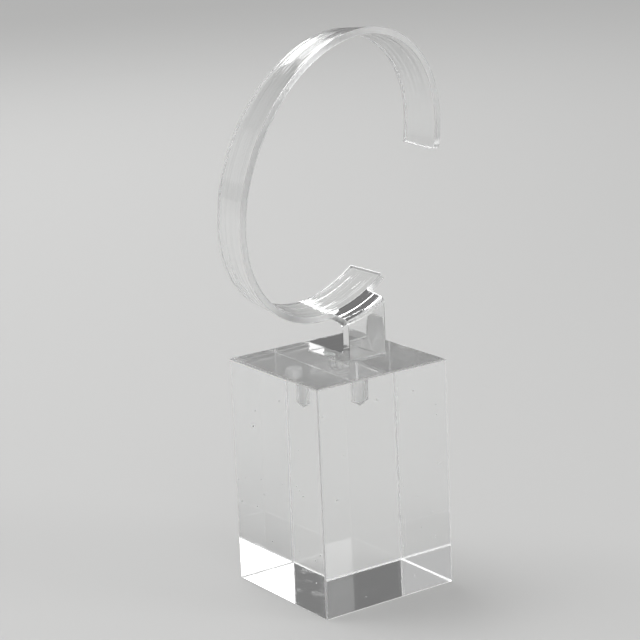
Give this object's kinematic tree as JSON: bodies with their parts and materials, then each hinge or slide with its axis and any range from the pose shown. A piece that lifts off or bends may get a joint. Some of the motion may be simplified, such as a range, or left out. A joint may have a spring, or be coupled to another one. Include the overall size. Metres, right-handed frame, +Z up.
{
  "type": "bracelet display holder",
  "caption": "Clear acrylic display stand: an open oval strip on a bent leg over an upright block holds one bracelet or watch.",
  "frame": {"origin": "middle of the block's underside, where the stand meets the table", "axes": "+X to the right, towards the mouth of the oval strip; +Y to the back; +Z up"},
  "size_m": [0.062, 0.039, 0.1437],
  "materials": {
    "block": "polished clear acrylic",
    "peg": "clear acrylic rod, glued",
    "c_ring": "polished clear acrylic"
  },
  "bodies": {
    "root": {"block": "block", "peg": "peg", "c_ring": "c_ring"}
  },
  "joints": []
}
